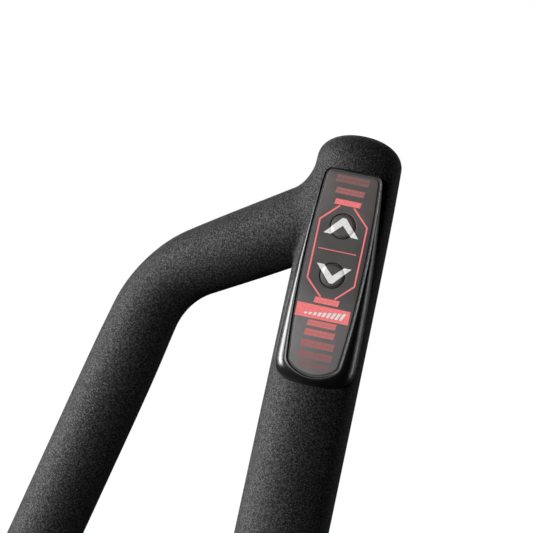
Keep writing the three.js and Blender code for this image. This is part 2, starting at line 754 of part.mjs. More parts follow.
// Four-way socket housing at the foot, its cells open downwards.
function makeConnector() {
  const { wide, deep, high, bottom } = connector;
  const cell = connectorCell;
  const housing = solid(block(wide, deep, high, 0, connectorY, bottom + high / 2));
  const cells = [-0.5, 0.5].flatMap((i) =>
    [-0.5, 0.5].map((j) =>
      block(cell.side, cell.side, 2 * cell.deep, i * cell.pitchX, connectorY + j * cell.pitchY, bottom),
    ),
  );
  return cut(housing, ...cells.map(solid));
}

// ---------------------------------------------------------------- assembly

const finish = (color, roughness, metalness = 0) =>
  new THREE.MeshStandardMaterial({ color, roughness, metalness });
const finishes = {
  skin: finish(0x1c1c1d, 0.85),
  steel: finish(0x8d9093, 0.45, 0.9),
  coated: finish(0x17181a, 0.5, 0.3),
  zinc: finish(0xb4b6b8, 0.35, 1),
  gloss: finish(0x0c0c0d, 0.18),
  film: finish(0x4a4b4a, 0.45),
  keyTop: finish(0xf2f2f2, 0.5),
  plastic: finish(0x161616, 0.6),
  white: finish(0xe8e4d8, 0.6),
  board: finish(0x1d5c38, 0.5),
  rubber: finish(0x141414, 0.8),
};

function mesh(name, made, material) {
  const piece = new THREE.Mesh(geometryOf(made), finishes[material]);
  piece.name = name;
  return piece;
}

const handle = new THREE.Group();
handle.add(
  mesh("main_tube", makeMainTube(), "steel"),
  mesh("branch_tube", makeBranchTube(), "steel"),
  mesh("top_plug", makeTopPlug(), "plastic"),
  mesh("grip_skin", makeSkin(), "skin"),
  mesh("lower_collar", makeCollar(), "plastic"),
  mesh("flange_plate", makePlate(), "coated"),
  mesh("socket_sleeve", makeSleeve(), "coated"),
);
crossBolt.z.forEach((z, i) => {
  const place = ["lower", "upper"][i];
  handle.add(
    mesh(`cross_bolt_${place}`, makeCrossBolt(z), "zinc"),
    mesh(`lock_nut_${place}`, makeNut(z), "zinc"),
    mesh(`saddle_washer_${place}_right`, makeArcWasher(1, z), "zinc"),
    mesh(`saddle_washer_${place}_left`, makeArcWasher(-1, z), "zinc"),
  );
});
handle.add(
  mesh("base_screw_upper", makeBaseScrew(baseScrews[0]), "zinc"),
  mesh("base_screw_lower", makeBaseScrew(baseScrews[1]), "zinc"),
  mesh("cable_grommet", makeGrommet(), "rubber"),
  mesh("cable_lead", makeLead(), "rubber"),
  mesh("cable_connector", makeConnector(), "white"),
);

pod.add(
  mesh("pod_base", makeBase(), "plastic"),
  mesh("pod_cover", makeCover(), "gloss"),
  mesh("overlay_film", makeFilm(), "film"),
  mesh("circuit_board", makeBoard(), "board"),
  mesh("board_screw_left", makeBoardScrew(-1), "zinc"),
  mesh("board_screw_right", makeBoardScrew(1), "zinc"),
  mesh("board_header", makeHeader(), "white"),
  mesh("cable_plug", makePlug(), "white"),
);
keyAt.forEach((v, i) => {
  const place = ["up", "down"][i];
  const parts = [
    mesh(`key_${place}`, makeKey(), "keyTop"),
    mesh(`switch_stem_${place}`, makeStem(), "plastic"),
    mesh(`switch_body_${place}`, makeTact(), "zinc"),
  ];
  for (const piece of parts) piece.position.y = v;
  pod.add(...parts);
});
handle.add(pod);

export default handle;
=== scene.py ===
import json
from math import acos, atan2, ceil, copysign, cos, exp, hypot, pi, radians, sin, sqrt, tan

import bmesh
import bpy
import numpy as np
from mathutils import Matrix, Vector


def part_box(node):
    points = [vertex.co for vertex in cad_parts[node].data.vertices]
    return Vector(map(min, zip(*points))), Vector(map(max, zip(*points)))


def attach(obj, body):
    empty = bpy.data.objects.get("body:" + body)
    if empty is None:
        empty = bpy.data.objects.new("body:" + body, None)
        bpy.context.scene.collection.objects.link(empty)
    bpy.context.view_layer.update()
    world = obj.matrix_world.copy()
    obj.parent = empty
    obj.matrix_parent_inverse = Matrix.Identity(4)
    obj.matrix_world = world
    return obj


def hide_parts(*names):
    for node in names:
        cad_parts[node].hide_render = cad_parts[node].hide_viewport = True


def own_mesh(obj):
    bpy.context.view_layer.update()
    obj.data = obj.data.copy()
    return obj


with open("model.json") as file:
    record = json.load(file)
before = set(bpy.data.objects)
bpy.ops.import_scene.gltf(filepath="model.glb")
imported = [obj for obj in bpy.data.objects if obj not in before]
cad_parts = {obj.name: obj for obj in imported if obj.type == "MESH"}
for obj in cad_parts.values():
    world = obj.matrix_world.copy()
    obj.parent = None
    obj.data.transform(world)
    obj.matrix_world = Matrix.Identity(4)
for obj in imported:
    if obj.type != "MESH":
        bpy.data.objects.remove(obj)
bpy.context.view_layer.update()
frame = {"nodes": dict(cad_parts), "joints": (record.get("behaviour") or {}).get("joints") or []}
mm = 0.001

# ---- camera, light and floor
# A long lens at the height of the pod, a little to its right and rolled so that the grip leans
# right. A large softbox on the left lights the foam. A lit card by the camera shows in the film,
# a narrow strip behind on the right draws a line down the gloss, and two weak lights fill in.

handle_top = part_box("grip_skin")[1][2]
camera_lean = radians(11.95)
camera_side = radians(4.5)
aim = Vector((-30.7 * mm, 0, handle_top - 64.65 * mm))
sight = Vector((-sin(camera_side), cos(camera_side), 0))
level = Vector((cos(camera_side), sin(camera_side), 0))
picture_right = level * cos(camera_lean) + Vector((0, 0, 1)) * sin(camera_lean)
picture_up = Vector((0, 0, 1)) * cos(camera_lean) - level * sin(camera_lean)
camera_distance = 4.0
view_width = 233.8 * mm

camera = bpy.data.cameras.new("camera")
camera.lens = camera.sensor_width * camera_distance / view_width
camera.clip_start = 0.01


def linked(name, data):
    made = bpy.data.objects.new(name, data)
    bpy.context.collection.objects.link(made)
    return made


camera_object = linked("camera", camera)
turn = Matrix((picture_right, picture_up, -sight)).transposed().to_4x4()
camera_object.matrix_world = Matrix.Translation(aim - sight * camera_distance) @ turn
bpy.context.scene.camera = camera_object


def soft_light(name, bearing, rise, distance, width, height, watts):
    """A square light aimed at the pod. Its bearing is from the camera, left negative."""
    bearing, rise = radians(bearing), radians(rise)
    way = picture_right * sin(bearing) - sight * cos(bearing)
    way = (way * cos(rise) + picture_up * sin(rise)).normalized()
    light = bpy.data.lights.new(name, "AREA")
    light.shape = "RECTANGLE"
    light.size = width
    light.size_y = height
    light.energy = watts
    lamp = linked(name, light)
    side = picture_up.cross(way).normalized()
    facing = Matrix((side, way.cross(side), way)).transposed().to_4x4()
    lamp.matrix_world = Matrix.Translation(aim + way * distance) @ facing
    return lamp


# Degrees round and up, then metres away, wide and high, and watts.
soft_light("softbox", -93, 5, 1.25, 0.9, 1.1, 68)
soft_light("high_side_light", -60, 45, 1.2, 0.5, 0.5, 6.5)
soft_light("film_card", -24, 6, 4.6, 1.3, 1.3, 132)
soft_light("back_strip", 135, 0, 0.8, 0.05, 0.7, 0.7)
soft_light("back_fill", 180, 15, 1.2, 0.7, 0.9, 3).visible_camera = False


def join(out, into):
    out.id_data.links.new(out, into)


def new_node(beside, kind):
    """A node in the same node tree as another node or a socket."""
    return beside.id_data.nodes.new("ShaderNode" + kind)


world = bpy.data.worlds.new("studio")
bpy.context.scene.world = world
world.use_nodes = True
world.node_tree.nodes.clear()
air = world.node_tree.nodes.new("ShaderNodeOutputWorld")
backdrop = new_node(air, "MixShader")
lit_air, seen_air = (0.012, 0.012, 0.0125), (1, 1, 1)
for number, tone in enumerate((lit_air, seen_air), 1):
    side = new_node(air, "Background")
    side.inputs["Color"].default_value = (*tone, 1)
    join(side.outputs[0], backdrop.inputs[number])
join(new_node(air, "LightPath").outputs["Is Camera Ray"], backdrop.inputs["Fac"])
join(backdrop.outputs[0], air.inputs["Surface"])
bpy.context.scene.view_settings.view_transform = "Standard"


def surface(name, tone, roughness, metallic=0.0, specular=0.5):
    """A material, its Principled shader and the object's own coordinates."""
    made = bpy.data.materials.new(name)
    made.use_nodes = True
    shader = made.node_tree.nodes["Principled BSDF"]
    shader.inputs["Base Color"].default_value = (*tone, 1)
    shader.inputs["Roughness"].default_value = roughness
    shader.inputs["Metallic"].default_value = metallic
    shader.inputs["Specular IOR Level"].default_value = specular
    return made, shader, new_node(shader, "TexCoord").outputs["Object"]


def noise(place, per_metre, detail=3.0, roughness=0.55):
    """Soft random blotches, about so many to the metre."""
    node = new_node(place, "TexNoise")
    node.inputs["Scale"].default_value = per_metre
    node.inputs["Detail"].default_value = detail
    node.inputs["Roughness"].default_value = roughness
    join(place, node.inputs["Vector"])
    return node.outputs["Fac"]


def tones(value, *stops):
    """A colour for each level of a value, as (level, colour) stops."""
    node = new_node(value, "ValToRGB")
    ramp = node.color_ramp
    while len(ramp.elements) < len(stops):
        ramp.elements.new(0.5)
    for element, (level, tone) in zip(ramp.elements, stops):
        element.position = level
        element.color = (*tone, 1)
    join(value, node.inputs["Fac"])
    return node.outputs["Color"]


def colour(shader, value, *stops):
    join(tones(value, *stops), shader.inputs["Base Color"])


def faced(name, points, faces):
    mesh = bpy.data.meshes.new(name)
    mesh.from_pydata(points, [], faces)
    return mesh


half_floor, floor_level = 2.4, -0.02 * mm
corners = [(x * half_floor, y * half_floor, floor_level) for x, y in ((-1, -1), (1, -1), (1, 1), (-1, 1))]
floor_mesh = faced("floor", corners, [(0, 1, 2, 3)])
floor = linked("floor", floor_mesh)
paper, shader, place = surface("pale_paper", (0.82, 0.82, 0.81), 0.85)
colour(shader, noise(place, 6, 2), (0.3, (0.80, 0.80, 0.79)), (0.7, (0.84, 0.84, 0.83)))
shader.inputs["Emission Color"].default_value = (1, 1, 0.99, 1)
shader.inputs["Emission Strength"].default_value = 0.7
floor_mesh.materials.append(paper)
floor.visible_diffuse = False
floor.visible_glossy = False


# ---- steel tubes and their plug
# The straight tube is 25.4 mm steel, the bent one 22.2 mm, mitred and welded to it at both ends.
# Both are drawn and bare, since the skin covers them. A moulded plug closes the top end.

def spread(value, low, high, to_low, to_high):
    """value from low to high, carried over to the range from to_low to to_high."""
    node = new_node(value, "MapRange")
    for key, number in zip(("From Min", "From Max", "To Min", "To Max"), (low, high, to_low, to_high)):
        node.inputs[key].default_value = number
    join(value, node.inputs["Value"])
    return node.outputs["Result"]


def roughen(shader, value, low, high, smooth, rough):
    join(spread(value, low, high, smooth, rough), shader.inputs["Roughness"])


def relief(shader, height, depth, strength=1.0):
    node = new_node(height, "Bump")
    node.inputs["Strength"].default_value = strength
    node.inputs["Distance"].default_value = depth
    join(height, node.inputs["Height"])
    join(node.outputs["Normal"], shader.inputs["Normal"])


drawn_steel, shader, place = surface("drawn_steel", (0.42, 0.42, 0.43), 0.4, metallic=1.0)
streaks = new_node(place, "Mapping")
streaks.inputs["Scale"].default_value = (1, 1, 0.04)
join(place, streaks.inputs["Vector"])
drawn = noise(streaks.outputs["Vector"], 1400, 4)
colour(shader, drawn, (0.3, (0.33, 0.33, 0.34)), (0.7, (0.5, 0.5, 0.51)))
roughen(shader, drawn, 0.3, 0.7, 0.3, 0.5)
relief(shader, drawn, 0.02 * mm)


def moulded(name, tone, roughness, grain=900, depth=0.02 * mm):
    """Moulded plastic or rubber with a spark-eroded grain."""
    made, shader, place = surface(name, tone, roughness)
    texture = noise(place, grain, 3)
    dark, light = (tuple(share * c for c in tone) for share in (0.82, 1.18))
    colour(shader, texture, (0.3, dark), (0.7, light))
    roughen(shader, texture, 0.3, 0.7, roughness - 0.06, roughness + 0.06)
    relief(shader, texture, depth)
    return made


def dress(node, material):
    """Gives a CAD node its finish."""
    piece = frame["nodes"][node]
    piece.data.materials.clear()
    piece.data.materials.append(material)


black_plastic = moulded("black_plastic", (0.014, 0.014, 0.015), 0.5)
dress("main_tube", drawn_steel)
dress("branch_tube", drawn_steel)
dress("top_plug", black_plastic)


# ---- foot: plate and sleeve
# A 6 mm plate with four bolt holes and a slot for the connector. The sleeve that takes the tube
# is welded to it all round. Both are powder coated black.

powder_coat, shader, place = surface("powder_coat", (0.016, 0.016, 0.017), 0.42)
peel = noise(place, 700, 2)
roughen(shader, peel, 0.3, 0.7, 0.36, 0.5)
dust = noise(place, 60, 5)
colour(shader, dust, (0.35, (0.014, 0.014, 0.015)), (0.75, (0.022, 0.022, 0.023)))
relief(shader, peel, 0.05 * mm)


def piece_from(name, mesh, material, body="handle", like=None, sharp=35, place=Matrix()):
    """Puts a mesh on a body as a piece: smooth, with edges past an angle kept sharp."""
    mesh.transform(place)
    mesh.validate()
    mesh.shade_smooth()
    mesh.set_sharp_from_angle(angle=radians(sharp))
    mesh.materials.clear()
    mesh.materials.append(material)
    piece = linked(name, mesh)
    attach(piece, body)
    if like:
        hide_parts(like)
    return piece


def rings_mesh(name, rings, section=None, closed_way=False):
    """Rings of equal length joined side to side. section, one ring laid flat, fills both ends."""
    count = len(rings[0])
    faces = []
    for i in range(len(rings) if closed_way else len(rings) - 1):
        here = i * count
        there = ((i + 1) % len(rings)) * count
        for j in range(count):
            k = (j + 1) % count
            faces.append((here + j, here + k, there + k, there + j))
    if section is not None:
        last = (len(rings) - 1) * count
        faces.append(tuple(range(count))[::-1])
        faces.append(tuple(range(last, last + count)))
    return faced(name, [tuple(p) for ring in rings for p in ring], faces)


def mesh_from(name, made):
    """Finishes a mesh under construction."""
    mesh = bpy.data.meshes.new(name)
    made.to_mesh(mesh)
    made.free()
    return mesh


def about_axis(points, a):
    """(radius, height) pairs put at an angle round Z."""
    return [(r * cos(a), r * sin(a), h) for r, h in points]


def turned(name, profile, segments=96, closed=False):
    """(radius, height) pairs turned about Z, counter-clockwise. On the axis they close."""
    made = bmesh.new()
    grid = []
    for i in range(segments):
        grid.append([made.verts.new(p) for p in about_axis(profile, 2 * pi * i / segments)])
    for i in range(segments):
        near, far = grid[i], grid[(i + 1) % segments]
        for j in range(len(profile) if closed else len(profile) - 1):
            k = (j + 1) % len(profile)
            made.faces.new((near[j], far[j], far[k], near[k]))
    bmesh.ops.remove_doubles(made, verts=made.verts, dist=1e-7)
    bmesh.ops.dissolve_degenerate(made, edges=made.edges, dist=1e-8)
    return mesh_from(name, made)


def rod(radius, low, high, segments):
    """A round bar on the Z axis, for cutting a bore."""
    return turned("rod", [(0, low), (radius, low), (radius, high), (0, high)], segments)


def rounded(points, radius, steps=5, closed=True):
    """The same outline with each corner rounded by an arc of about that radius."""
    out = []
    count = len(points)
    for i, here in enumerate(points):
        here = Vector(here)
        if not closed and i in (0, count - 1):
            out.append(tuple(here))
            continue
        before = Vector(points[i - 1]) - here
        after = Vector(points[(i + 1) % count]) - here
        cut = min(radius, 0.48 * before.length, 0.48 * after.length)
        start = here + before.normalized() * cut
        end = here + after.normalized() * cut
        for k in range(steps + 1):
            t = k / steps
            out.append(tuple(start * (1 - t) ** 2 + here * 2 * t * (1 - t) + end * t ** 2))
    return out


def settled_mesh(piece):
    """An object's mesh with its modifiers or its curve worked in."""
    bpy.context.view_layer.update()
    return bpy.data.meshes.new_from_object(piece.evaluated_get(bpy.context.evaluated_depsgraph_get()))


def cut_away(piece, *shapes):
    """Takes the shapes of some meshes out of a piece for good."""
    for shape in shapes:
        cutter = linked("cutter", shape)
        step = piece.modifiers.new("cut", "BOOLEAN")
        step.operation = "DIFFERENCE"
        step.solver = "MANIFOLD"
        step.object = cutter
        cut = settled_mesh(piece)
        piece.modifiers.clear()
        piece.data = cut
        bpy.data.objects.remove(cutter)


def corners_of(node):
    """The low and the high corner of a node's box."""
    return (Vector(c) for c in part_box(node))


plate_low, plate_high = corners_of("flange_plate")
plate_corner = 8 * mm
edge_round = 0.6 * mm
hole_spacing = (64 * mm, 36 * mm)
hole_radius = 4.25 * mm
connector_low, connector_high = corners_of("cable_connector")
slot_play, slot_corner = 0.7 * mm, 2 * mm


def loop(curve, points):
    """A closed straight-sided spline in a flat curve."""
    spline = curve.splines.new("POLY")
    spline.points.add(len(points) - 1)
    for point, (x, y) in zip(spline.points, points):
        point.co = (x, y, 0, 1)
    spline.use_cyclic_u = True


def arc_corners(low, high, radius, steps=10):
    """A rectangle with round corners, counter-clockwise."""
    points = []
    square = ((high.x, high.y), (low.x, high.y), (low.x, low.y), (high.x, low.y))
    for i, (x, y) in enumerate(square):
        cx = x - radius if i in (0, 3) else x + radius
        cy = y - radius if i in (0, 1) else y + radius
        for k in range(steps + 1):
            a = pi / 2 * (i + k / steps)
            points.append((cx + radius * cos(a), cy + radius * sin(a)))
    return points


plate_curve = bpy.data.curves.new("flange_plate", "CURVE")
plate_curve.dimensions = "2D"
plate_curve.fill_mode = "BOTH"
inset = Vector((edge_round, edge_round, 0))
loop(plate_curve, arc_corners(plate_low + inset, plate_high - inset, plate_corner - edge_round))
wide = hole_radius + edge_round
hole = [(wide * cos(a), -wide * sin(a)) for a in np.linspace(0, 2 * pi, 48, endpoint=False)]
for i in (-0.5, 0.5):
    for j in (-0.5, 0.5):
        loop(plate_curve, [(i * hole_spacing[0] + x, j * hole_spacing[1] + y) for x, y in hole])
play = Vector((slot_play + edge_round,) * 3)
loop(plate_curve, arc_corners(connector_low - play, connector_high + play, slot_corner)[::-1])
plate_curve.extrude = (plate_high.z - plate_low.z) / 2 - edge_round
plate_curve.bevel_depth = edge_round
plate_curve.bevel_resolution = 3
plate_object = linked("plate_curve", plate_curve)
plate_mesh = settled_mesh(plate_object)
bpy.data.objects.remove(plate_object)
plate_mesh.transform(Matrix.Translation((0, 0, (plate_low.z + plate_high.z) / 2)))
piece_from("foot_plate", plate_mesh, powder_coat, like="flange_plate", sharp=50)

sleeve_low, sleeve_high = corners_of("socket_sleeve")
sleeve_radius = sleeve_high.x
fit = 0.3 * mm
tube_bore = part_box("main_tube")[1][0] + fit
bolt_radius = 4 * mm
bolt_hole = bolt_radius + fit
sleeve_profile = rounded([(tube_bore, sleeve_low.z), (sleeve_radius, sleeve_low.z),
                          (sleeve_radius, sleeve_high.z), (tube_bore, sleeve_high.z)], 0.7 * mm)
sleeve_mesh = turned("sleeve", sleeve_profile, closed=True)
sleeve = piece_from("sleeve", sleeve_mesh, powder_coat, like="socket_sleeve")


def crossways(mesh, height, turn=pi / 2):
    """Lays a mesh along X from upright, at a height on the tube."""
    mesh.transform(Matrix.Translation((0, 0, height)) @ Matrix.Rotation(turn, 4, "Y"))
    return mesh


bolt_names, drill_half = ("lower", "upper"), 30 * mm
bolt_heights = [sum(c[2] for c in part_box(f"cross_bolt_{name}")) / 2 for name in bolt_names]
for height in bolt_heights:
    cut_away(sleeve, crossways(rod(bolt_hole, -drill_half, drill_half, 40), height))

bead_rings = []
bead, bead_root = 2.4 * mm, 0.2 * mm
bead_foot = Vector((sleeve_radius - bead_root, plate_high.z - bead_root))
for i in range(180):
    a = 2 * pi * i / 180
    swell = bead * (1 + 0.06 * sin(36 * a) + 0.03 * sin(5 * a + 1))
    quarter = [pi / 2 * k / 8 for k in range(9)]
    ring = [(bead_foot.x + swell * cos(b), bead_foot.y + swell * sin(b)) for b in quarter]
    bead_rings.append(about_axis(ring + [tuple(bead_foot)], a))
piece_from("weld_bead", rings_mesh("weld_bead", bead_rings, closed_way=True), powder_coat, sharp=80)


# ---- cross bolts, washers and nuts
# Two M8 button-head bolts clamp the tube in the sleeve. Each has a saddle washer on both sides
# and a self-locking nut with a nylon ring. All are bright zinc plated.

bright_zinc, shader, place = surface("bright_zinc", (0.62, 0.63, 0.65), 0.28, metallic=1.0)
bloom = noise(place, 260, 4)
colour(shader, bloom, (0.3, (0.52, 0.53, 0.56)), (0.7, (0.68, 0.69, 0.7)))
roughen(shader, bloom, 0.3, 0.7, 0.2, 0.36)
relief(shader, noise(place, 1800, 2), 0.008 * mm)

washer_radius = 8 * mm
washer_seat = 10 * mm
nut_radius, insert_high = 6.5 * mm, 1.8 * mm
thread_pitch, thread_deep, thread_long = 1.25 * mm, 0.55 * mm, 16 * mm
point_chamfer = 0.8 * mm
head_radius, head_high, head_flat = 7 * mm, 4.4 * mm, 3.8 * mm
head_edge, head_round = 0.5 * mm, 3.7 * mm
dome_start = radians(12)
socket_wide, socket_deep = 5 * mm, 2.8 * mm


def saddle_washer(name, side, height):
    """A disc, flat for the bolt and hollowed on its other side to fit the round sleeve."""
    flat = max(abs(corner.x) for corner in corners_of(name))
    profile = rounded([(bolt_hole, washer_seat), (washer_radius, washer_seat), (washer_radius, flat),
                       (bolt_hole, flat)], 0.35 * mm, 3)
    mesh = crossways(turned(name, profile, 72, closed=True), height, side * pi / 2)
    washer = piece_from(name + "_piece", mesh, bright_zinc, like=name)
    cut_away(washer, rod(sleeve_radius + fit, height - 20 * mm, height + 20 * mm, 128))


def cross_bolt(name, height):
    """A cut thread, a plain shank and a button head with a hexagon socket."""
    low, high = corners_of(name)
    head_top, head_low = high.x, high.x - head_high
    shank = [(0, low.x), (bolt_radius - point_chamfer, low.x)]
    thread_end = low.x + thread_long
    turn_at = low.x + point_chamfer
    while turn_at < thread_end:
        shank.append((bolt_radius, turn_at))
        shank.append((bolt_radius - thread_deep, turn_at + thread_pitch / 2))
        turn_at += thread_pitch
    shank += [(bolt_radius, thread_end), (bolt_radius, head_low)]
    head = [(head_radius - 0.2 * mm, head_low), (head_radius, head_low + head_edge)]
    dome_radius = 0.98 * head_radius / cos(dome_start)
    for k in range(1, 13):
        a = dome_start + (pi / 2 - dome_start) * k / 13
        spot = (dome_radius * cos(a), head_low + 0.15 * mm + head_round * sin(a))
        if spot[0] > head_flat + 0.1 * mm and spot[1] < head_top - 0.05 * mm:
            head.append(spot)
    head += [(head_flat, head_top), (0, head_top)]
    mesh = crossways(turned(name, shank + head, 72), height)
    bolt = piece_from(name + "_piece", mesh, bright_zinc, like=name, sharp=40)
    socket_corner = socket_wide / 2 / cos(pi / 6)
    cut_away(bolt, crossways(rod(socket_corner, head_top - socket_deep, head_top + 2 * mm, 6), height))


def lock_nut(name, height):
    """A hexagon chamfered by a cone on both sides, drawn in to the ring of its nylon insert."""
    low, high = corners_of(name)
    long = high.x - low.x
    hex_long = long - insert_high
    corner = nut_radius / cos(pi / 6)
    # How far in from an end of the hexagon, and how much the cone takes off its corners there.
    cone = [(0, 1.0 * mm), (0.35 * mm, 0.55 * mm), (0.8 * mm, 0.15 * mm), (1.3 * mm, 0)]
    stations = [(h, corner - cut) for h, cut in cone]
    stations += [(hex_long - h, corner - cut) for h, cut in cone[::-1]]
    stations += [(hex_long + 0.15 * mm, nut_radius - 0.6 * mm), (long - 0.5 * mm, nut_radius - 0.6 * mm),
                 (long - 0.15 * mm, nut_radius - 0.8 * mm), (long, nut_radius - 1.3 * mm),
                 (long, bolt_radius + 0.05 * mm), (0, bolt_radius + 0.05 * mm)]
    around = [2 * pi * k / 96 for k in range(96)]
    flats = [nut_radius / cos((a + pi / 6) % (pi / 3) - pi / 6) for a in around]
    rings = []
    for h, limit in stations:
        rings.append([about_axis([(min(flat, limit), h)], a)[0] for a, flat in zip(around, flats)])
    mesh = rings_mesh(name, rings, closed_way=True)
    mesh.transform(Matrix.Translation((high.x, 0, height)) @ Matrix.Rotation(-pi / 2, 4, "Y"))
    piece_from(name + "_piece", mesh, bright_zinc, like=name, sharp=28)


for place_name, height in zip(bolt_names, bolt_heights):
    saddle_washer(f"saddle_washer_{place_name}_right", 1, height)
    saddle_washer(f"saddle_washer_{place_name}_left", -1, height)
    cross_bolt(f"cross_bolt_{place_name}", height)
    lock_nut(f"lock_nut_{place_name}", height)


# ---- trim collar
# A turned ring of black plastic that leads from the sleeve out to the skin's lower end.

collar_low, collar_high = corners_of("lower_collar")
collar_radius = collar_high.x
collar_profile = rounded([
    (tube_bore, collar_low.z), (sleeve_radius, collar_low.z),
    (sleeve_radius + 0.6 * mm, collar_low.z + 1.2 * mm),
    (collar_radius - 0.5 * mm, collar_high.z - 4.2 * mm), (collar_radius, collar_high.z - 3 * mm),
    (collar_radius, collar_high.z), (tube_bore, collar_high.z),
], 0.6 * mm, 4)
collar_mesh = turned("collar", collar_profile, 128, closed=True)
piece_from("collar", collar_mesh, black_plastic, like="lower_collar")


# ---- soft skin
# One moulding of soft black foam over both tubes, with no seam. It is thick on the straight tube,
# which ends in a dome, and thinner on the bent one, and it flows from one into the other. The
# bent grip's plane is turned back a little from straight sideways.

skin_low, skin_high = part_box("grip_skin")
crown_height, crown_power = 12.6 * mm, 2.15
grip_wide, grip_taper = 19.7 * mm, 0.004
shoulder_thin, shoulder_long = 1.0 * mm, 25 * mm
branch_radius = 15.2 * mm
joint_swell, swell_long = 1.5 * mm, 60 * mm
bend_radius = 44.5 * mm
bend_thin, thin_long = 1.2 * mm, 27 * mm
hollow_tight, hollow_wide, hollow_long = 1.0 * mm, 6.2 * mm, 90 * mm
end_round = 1.5 * mm
loop_turn = radians(20)
upper_joint = np.array((0, handle_top - 31.4 * mm))
run_fall = radians(29.8)
upper_reach = 81.85 * mm
upper_corner = np.array((-upper_reach, upper_joint[1] - upper_reach * tan(run_fall)))
lower_joint = np.array((0, 118 * mm))
return_rise = radians(18)
leg_splay = radians(14)
lower_reach = upper_reach + (upper_corner[1] - lower_joint[1]) * tan(leg_splay)
lower_reach /= 1 + tan(return_rise) * tan(leg_splay)
lower_corner = np.array((-lower_reach, lower_joint[1] + lower_reach * tan(return_rise)))
legs = ((upper_joint, upper_corner, 1), (lower_joint, lower_corner, -1))


def unit(v):
    return v / np.linalg.norm(v)


def grip_radius(below):
    """The straight grip widens quickly under the dome, then very slowly to its lower end."""
    down = np.maximum(below - crown_height, 0)
    return grip_wide + grip_taper * down - shoulder_thin * np.exp(-down / shoulder_long)


def bend(into, corner, out):
    """Where a bend at a corner starts and ends, and its centre."""
    a, b = unit(corner - into), unit(out - corner)
    reach = bend_radius * tan(acos(np.clip(a @ b, -1, 1)) / 2)
    start = corner - a * reach
    return start, corner + b * reach, start + unit(b - a * (a @ b)) * bend_radius


bends = [bend(upper_joint, upper_corner, lower_corner), bend(upper_corner, lower_corner, lower_joint)]
straights = [(upper_joint, bends[0][0]), (bends[0][1], bends[1][0]), (bends[1][1], lower_joint)]


def straight_grip(p):
    """Signed distance, near enough, to the straight grip with its dome."""
    across = np.hypot(p[:, 0], p[:, 1])
    below = handle_top - p[:, 2]
    barrel = across - grip_radius(below)
    up = np.maximum(crown_height - below, 0) / crown_height
    share = (np.maximum(across, 1e-9) / grip_radius(crown_height)) ** crown_power + up ** crown_power
    crown = (share ** (1 / crown_power) - 1) * crown_height
    return np.where(up > 0, crown, barrel)


def in_loop(p):
    """Points in the loop's own plane, which is turned back, and how far they are out of it."""
    across = p[:, 0] * cos(loop_turn) - p[:, 1] * sin(loop_turn)
    return np.stack([across, p[:, 2]], 1), p[:, 0] * sin(loop_turn) + p[:, 1] * cos(loop_turn)


def bent_grip(p):
    """Signed distance to the bent grip. Its foam swells at the joints and thins round the bends."""
    flat, aside = in_loop(p)
    nearest = np.full(len(p), 1.0)
    radius = np.full(len(p), branch_radius)
    for joint, corner, _ in legs:
        along = np.maximum((flat - joint) @ unit(corner - joint), 0)
        radius += joint_swell * np.exp(-along / swell_long)
    for a, b in straights:
        t = np.clip((flat - a) @ (b - a) / ((b - a) @ (b - a)), 0, 1)
        off = flat - (a + t[:, None] * (b - a))
        nearest = np.minimum(nearest, np.sqrt((off ** 2).sum(1) + aside ** 2))
    for start, end, centre in bends:
        middle = unit((start + end) / 2 - centre)
        out = flat - centre
        far = np.linalg.norm(out, axis=1)
        along = out @ np.array((middle[1], -middle[0]))
        radius -= np.where(far < 2 * bend_radius, bend_thin * np.exp(-(along / thin_long) ** 2), 0)
        inside = out @ middle > (start - centre) @ middle / bend_radius * far
        ring = np.sqrt((far - bend_radius) ** 2 + aside ** 2)
        nearest = np.minimum(nearest, np.where(inside, ring, 1.0))
    return nearest - radius


def blend_radius(p):
    """Wide where the two grips open away from each other, tight in the narrow crotch."""
    flat, _ = in_loop(p)
    out = np.zeros(len(p))
    for joint, corner, open_side in legs:
        way = unit(corner - joint)
        side = np.array((way[1], -way[0])) * open_side
        share = np.clip(((flat - joint) @ side / branch_radius + 1) / 2, 0, 1)
        share = share * share * (3 - 2 * share)
        near = np.linalg.norm(flat - joint, axis=1) < hollow_long
        out = np.where(near, hollow_tight + hollow_wide * share, out)
    return np.maximum(out, hollow_tight)


def skin_level(p):
    """Signed distance to the whole skin: both grips, the hollow between them and the flat end."""
    a, b, r = straight_grip(p), bent_grip(p), blend_radius(p)
    both = np.maximum(r, np.minimum(a, b)) - np.hypot(np.maximum(r - a, 0), np.maximum(r - b, 0))
    end = skin_low[2] - p[:, 2]
    corner = np.hypot(np.maximum(end_round + both, 0), np.maximum(end_round + end, 0))
    return np.minimum(-end_round, np.maximum(both, end)) + corner


def slope(p, step=0.03 * mm):
    """Which way the level rises, and how fast."""
    out = np.empty_like(p)
    for axis in range(3):
        ahead, behind = p.copy(), p.copy()
        ahead[:, axis] += step
        behind[:, axis] -= step
        out[:, axis] = (skin_level(ahead) - skin_level(behind)) / (2 * step)
    return out


def settle(p, level=0.0, rounds=4):
    """Moves points straight onto the surface at a level: a distance out from the skin."""
    for _ in range(rounds):
        way = slope(p)
        p = p - way * ((skin_level(p) - level) / np.maximum((way ** 2).sum(1), 0.05))[:, None]
    return p


